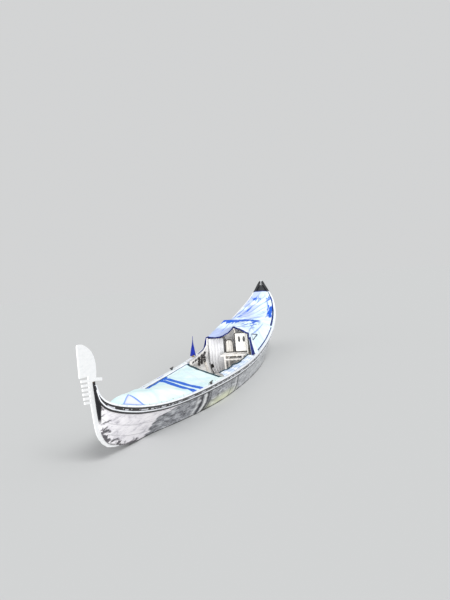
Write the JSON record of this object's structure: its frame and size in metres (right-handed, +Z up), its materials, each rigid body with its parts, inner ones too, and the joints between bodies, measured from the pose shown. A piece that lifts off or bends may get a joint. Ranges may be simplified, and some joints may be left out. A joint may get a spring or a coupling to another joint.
{
  "type": "covered gondola boat",
  "caption": "Long slender flat-bottomed rowed boat, wider to port, with an upright bow iron, passenger seats, a cloth tent over them, and cloth covers fore and aft.",
  "frame": {"origin": "on the underside of the flat bottom, amidships, below the line from the bow iron to the stern post", "axes": "+X forward to the bow, +Y to port, +Z up; the waterline is 0.17 m above the origin"},
  "size_m": [10.738, 1.4287, 1.818],
  "materials": {
    "hull": "weathered boat paint, mottled grey, chalky white at the bow",
    "black_paint": "glossy black boat paint",
    "white_paint": "white boat paint, semi-gloss, worn",
    "deck_paint": "black boat paint, satin",
    "bare_timber": "limewashed larch, matte",
    "floor_boards": "pale scrubbed boards, matte",
    "cream_paint": "cream paint, dull",
    "carved_wood": "carved limewood under worn white paint, with dark scrolls",
    "curtain_cloth": "grey-white cotton cloth in folds",
    "cushion_cloth": "cream upholstery cloth, padded",
    "bow_tarpaulin": "pale cyan coated tarpaulin with two blue strips",
    "blue_tarpaulin": "blue and pale coated tarpaulin, creased",
    "hood_cloth": "navy canvas",
    "steel": "galvanised steel, pale and dull",
    "brass": "tarnished brass"
  },
  "bodies": {
    "root": {"aft_deck": "deck_paint", "aft_deck_beam": "bare_timber", "bottom_planking": "hull", "bow_iron": "steel", "cap_rail_port": "white_paint", "cap_rail_starboard": "white_paint", "chair_back_round": "cream_paint", "chair_back_tall": "cream_paint", "cleat_port": "black_paint", "cleat_starboard": "black_paint", "floor_panel_aft": "floor_boards", "floor_panel_fore": "floor_boards", "floor_panel_middle": "floor_boards", "fore_cover": "bow_tarpaulin", "fore_deck": "deck_paint", "fore_deck_beam": "bare_timber", "hanging_curtain": "curtain_cloth", "main_seat_back": "carved_wood", "main_seat_box": "cream_paint", "main_seat_cushion": "cushion_cloth", "ornament_hood": "hood_cloth", "passenger_bench": "cream_paint", "rail_ornament": "brass", "rib_1": "bare_timber", "rib_2": "bare_timber", "rib_3": "bare_timber", "rib_4": "bare_timber", "rib_5": "bare_timber", "rib_6": "bare_timber", "rib_7": "bare_timber", "rib_8": "bare_timber", "rib_9": "bare_timber", "rub_bead_port": "white_paint", "rub_bead_starboard": "white_paint", "sheer_strake_port": "black_paint", "sheer_strake_starboard": "black_paint", "side_carving_port": "carved_wood", "side_carving_starboard": "carved_wood", "side_cover_port": "blue_tarpaulin", "side_planking_port": "hull", "side_planking_starboard": "hull", "stem_post": "hull", "stern_cover": "blue_tarpaulin", "stern_iron": "steel", "stern_post": "hull", "tent_cover": "blue_tarpaulin", "tent_prop_middle": "bare_timber", "tent_prop_port": "bare_timber", "tent_ridge_pole": "bare_timber", "thwart_aft": "bare_timber", "thwart_fore": "bare_timber", "thwart_well": "bare_timber"}
  },
  "joints": []
}
